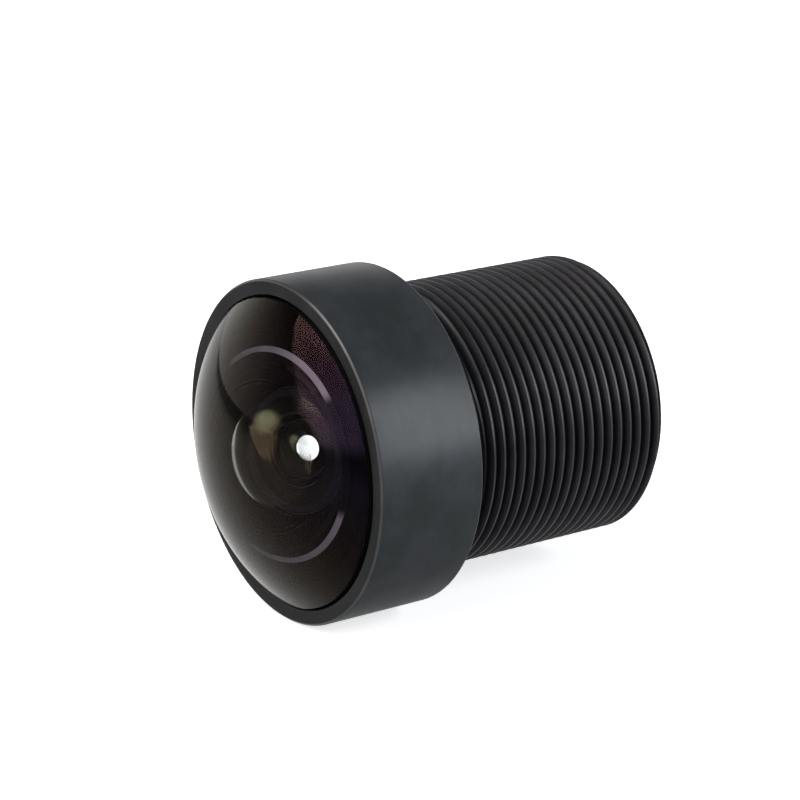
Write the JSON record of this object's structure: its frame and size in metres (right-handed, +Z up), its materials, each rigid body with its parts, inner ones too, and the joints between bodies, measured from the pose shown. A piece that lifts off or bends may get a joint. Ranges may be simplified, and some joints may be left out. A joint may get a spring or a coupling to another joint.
{
  "type": "fisheye lens",
  "caption": "Small fisheye lens for a board camera: domed front glass under a screwed front ring, black barrel with a fine mounting thread, coated glasses and stop inside.",
  "frame": {"origin": "on the optical axis, in the plane of the shoulder behind the head", "axes": "+Y along the optical axis from the front glass to the camera, +Z up, +X to the right seen from the front"},
  "size_m": [0.0142, 0.0178, 0.0142],
  "materials": {
    "head_anodised": "black anodised, satin, fine turning marks",
    "barrel_anodised": "black anodised, satin thread",
    "front_glass": "polished, thin violet coating, inked edge",
    "second_glass": "polished, thin olive coating, inked edge",
    "inner_glass": "polished and coated, inked edge",
    "filter_glass": "polished, pale green-blue",
    "seal_rubber": "smooth black rubber",
    "baffle_black": "matt black anodised",
    "spacer_black": "matt black anodised",
    "stop_black": "matt black on thin metal",
    "shield_film": "matt black film",
    "retainer_anodised": "black anodised, satin"
  },
  "bodies": {
    "barrel": {"barrel": "barrel_anodised", "front_seal": "seal_rubber", "front_baffle": "baffle_black", "second_lens": "second_glass", "front_shield": "shield_film", "second_spacer": "spacer_black", "third_lens": "inner_glass", "aperture_stop": "stop_black", "stop_spacer": "spacer_black", "doublet_front": "inner_glass", "doublet_rear": "inner_glass", "rear_spacer": "spacer_black", "rear_lens": "inner_glass", "rear_shield": "shield_film"},
    "front_glass": {"front_lens": "front_glass"},
    "front_ring": {"front_ring": "head_anodised"},
    "filter": {"ir_filter": "filter_glass", "filter_ring": "retainer_anodised"},
    "rear_retainer": {"rear_retainer": "retainer_anodised"}
  },
  "joints": [
    {"name": "front_glass_slide", "type": "slide", "parent": "barrel", "child": "front_glass", "axis": [0, -1, 0], "range_m": [0, 0.0025]},
    {"name": "front_ring_screw", "type": "hinge", "parent": "front_glass", "child": "front_ring", "pos_m": [0, 0, 0], "axis": [0, -1, 0], "range_deg": [0, 1800]},
    {"name": "filter_slide", "type": "slide", "parent": "barrel", "child": "filter", "axis": [0, 1, 0], "range_m": [0, 0.0015]},
    {"name": "retainer_screw", "type": "hinge", "parent": "filter", "child": "rear_retainer", "pos_m": [0, 0, 0], "axis": [0, 1, 0], "range_deg": [0, 1080]}
  ],
  "couplings": [
    {"joint": "front_ring_screw", "follows": "front_glass_slide", "rad_per_m": 12566},
    {"joint": "retainer_screw", "follows": "filter_slide", "rad_per_m": 12566}
  ]
}
